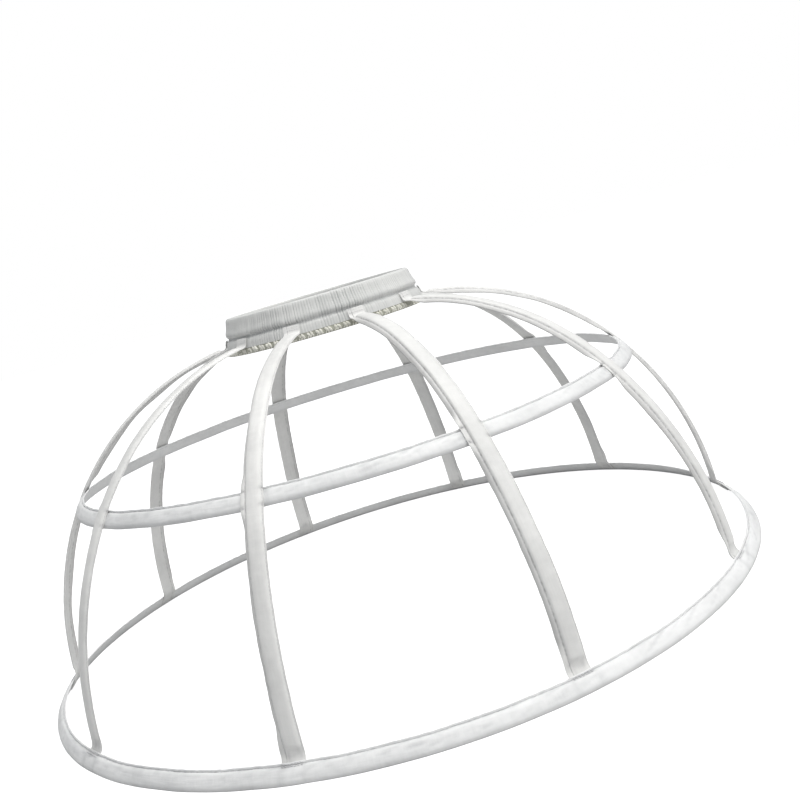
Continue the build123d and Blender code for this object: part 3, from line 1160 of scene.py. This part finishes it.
# the raw edge is painted darker than its satin, as painted shade in the gaps between the puffs
raw_edge = cloth_material("raw satin edge", (0.5, 0.5, 0.43), (0.34, 0.34, 0.28), 0.7, 0.6, 0.3)
print("cloth materials", [m.name for m in (rib_satin, hoop_satin, band_satin, raw_edge)])

# %% [markdown]
# Thread is two or three plies twisted together, so a diagonal wave gives its bump. Modelled plies
# would need far more faces than can be seen. The pieces held inside, the plastic bones, the crimped
# sleeves and the knitted elastic, keep their CAD shapes and get finishes of their own.

# %% Thread, boning, steel and elastic


def wave_node(tree, vector, direction, scale, distortion):
    inputs = {"Vector": vector, "Scale": scale, "Distortion": distortion}
    return add_node(tree, "TexWave", inputs, bands_direction=direction).outputs["Fac"]


def thread_material(name, color, shadow, roughness):
    """Twisted thread: fine slanted plies in bump, and a soft change of colour."""
    material, tree, shader = new_material(name, roughness, sheen=0.3)
    place = object_place(tree)
    add_shade(tree, shader, color, shadow, {"Place": place, "Cloth": place, "Drift": 0.7})
    add_bump(tree, shader, wave_node(tree, place, "DIAGONAL", 420.0, 1.5), 0.15, 0.8)
    return material


def solid_material(name, color, shadow, roughness, bump_scale, bump_depth, metallic=0.0):
    """A hard inner piece: slightly uneven colour and a fine grain."""
    material, tree, shader = new_material(name, roughness, metallic)
    place = object_place(tree)
    add_shade(tree, shader, color, shadow, {"Place": place, "Cloth": place, "Drift": 0.5})
    add_bump(tree, shader, noise_node(tree, place, bump_scale, 3.0), bump_depth, 0.6)
    return material


def elastic_material():
    """Ribbed knitted elastic: rubber cords run round the waist under the knit."""
    material, tree, shader = new_material("knitted elastic", 0.75, sheen=0.2)
    cords = wave_node(tree, object_place(tree), "Z", 260.0, 0.6)
    knit = mix_colors(tree, cords, (0.62, 0.62, 0.6, 1), (0.82, 0.82, 0.8, 1))
    fill(tree, shader, {"Base Color": knit})
    add_bump(tree, shader, cords, 0.3, 0.8)
    return material


overlock_thread = thread_material("overlock thread", (0.93, 0.92, 0.85), (0.74, 0.73, 0.63), 0.6)
sewing_thread = thread_material("sewing thread", (0.74, 0.74, 0.75), (0.5, 0.5, 0.52), 0.55)
boning = solid_material("boning plastic", (0.82, 0.83, 0.82), (0.7, 0.71, 0.69), 0.35, 900.0, 0.04)
crimped_steel = solid_material(
    "crimped steel", (0.62, 0.62, 0.63), (0.42, 0.42, 0.43), 0.32, 500.0, 0.08, metallic=1.0
)
knitted_elastic = elastic_material()
print("materials in all", len(bpy.data.materials))

# %% [markdown]
# A cage is cut from few cloths, so pieces share their materials: one satin for all ribs, one for
# both hoops, and one thread for every seam. A material for each piece would be easy to add, but
# hard to keep alike. The bones, sleeves and elastic keep their CAD slots, which are filled by name.

# %% Give each piece its material


def give(piece, material):
    piece.data.materials.clear()
    piece.data.materials.append(material)


def inner_finish(name):
    if name == "waist_elastic":
        return knitted_elastic
    return crimped_steel if "sleeve" in name else boning


for rib in ribs:
    give(rib, rib_satin)
for hoop in (middle_hoop, hem_hoop):
    give(hoop, hoop_satin)
give(waistband, band_satin)
give(edge_cloth, raw_edge)
give(edge_thread, overlock_thread)
seams = [middle_hoop_stitches, hem_stitches, hem_tack_row, crease_stitches, *rib_stitches, *tacks]
for row in seams:
    give(row, sewing_thread)
inner_solids = [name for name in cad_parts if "casing" not in name and name != "overlocked_edge"]
for name in inner_solids:
    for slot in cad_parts[name].material_slots:
        slot.material = inner_finish(name)
print("solids left in view", len(inner_solids))

# %% [markdown]
# Every piece rides on the cage's one body, and the CAD solid that a cloth piece stands for is
# hidden. Stitches could be left loose, but a row rides with its cloth.


def seat(piece, slot, *nodes):
    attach(piece, "root")
    if nodes:
        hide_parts(*nodes)


for number, rib in enumerate(ribs, 1):
    seat(rib, "satin_tape", f"rib_casing_{number}")
seat(middle_hoop, "satin_tape", "middle_hoop_casing")
seat(hem_hoop, "satin_tape", "hem_casing")
seat(waistband, "waistband_satin", "waistband_casing")
seat(edge_thread, "overlock_thread", "overlocked_edge")
seat(edge_cloth, "waistband_satin")
for row in seams:
    seat(row, "overlock_thread")

print("pieces declared as cloth", len(ribs) + 3)

# %% [markdown]
# The studio is white all round. A white world alone would light the tapes flat. So the camera sees
# a white sky and a white floor, while the light that falls on the cage is dimmer, stronger from the
# right, and comes mostly from above: each tape shades to grey where it turns away, as satin does.

# %% Floor and light
lamp_aim = Vector((0, 0, 0.2))
left_light = 0.38
right_light = 0.62
floor_white = 0.56
floor_glow = 0.9


def add_lamp(name, spot, power, size, color):
    data = bpy.data.lights.new(name, "AREA")
    data.energy = power
    data.size = size
    data.color = color
    lamp = bpy.data.objects.new(name, data)
    bpy.context.scene.collection.objects.link(lamp)
    turn = (Vector(spot) - lamp_aim).to_track_quat("Z", "Y")
    lamp.matrix_world = Matrix.Translation(spot) @ turn.to_matrix().to_4x4()


def make_world():
    world = bpy.data.worlds.new("studio")
    world.use_nodes = True
    tree = world.node_tree
    light = tree.nodes["Background"]
    x, _ = split(tree, add_node(tree, "TexCoord", {}).outputs["Generated"])
    sides = {"Value": x, "From Min": -1.0, "To Min": left_light, "To Max": right_light}
    strength = add_node(tree, "MapRange", sides).outputs["Result"]
    fill(tree, light, {"Color": (0.95, 0.975, 1.0, 1), "Strength": strength})
    seen = add_node(tree, "Background", {"Color": (1, 1, 1, 1)})
    path = add_node(tree, "LightPath", {})
    sky = {0: path.outputs["Is Camera Ray"], 1: light.outputs[0], 2: seen.outputs[0]}
    sky = add_node(tree, "MixShader", sky)
    fill(tree, tree.nodes["World Output"], {"Surface": sky.outputs["Shader"]})
    bpy.context.scene.world = world


def make_floor():
    """A pale floor that looks white but throws little light back up at the cage."""
    bpy.ops.object.select_all(action="DESELECT")
    bpy.ops.mesh.primitive_plane_add(size=40)
    floor = bpy.context.object
    floor.name = "floor"
    pale, tree, shader = new_material("pale floor", 0.9)
    path = add_node(tree, "LightPath", {})
    glow = math_node(tree, "MULTIPLY", path.outputs["Is Camera Ray"], floor_glow)
    fill(tree, shader, {
        "Base Color": (floor_white, floor_white, floor_white, 1), "Specular IOR Level": 0.0,
        "Emission Color": (1, 1, 1, 1), "Emission Strength": glow,
    })
    give(floor, pale)


make_world()
make_floor()
add_lamp("overhead", (0.3, -0.4, 2.4), 36, 1.8, (1.0, 0.99, 0.965))
add_lamp("right", (2.0, -1.6, 1.3), 13, 1.2, (1.0, 0.985, 0.955))
bpy.context.scene.view_settings.view_transform = "Standard"
print("lamps", [lamp.name for lamp in bpy.data.lights])
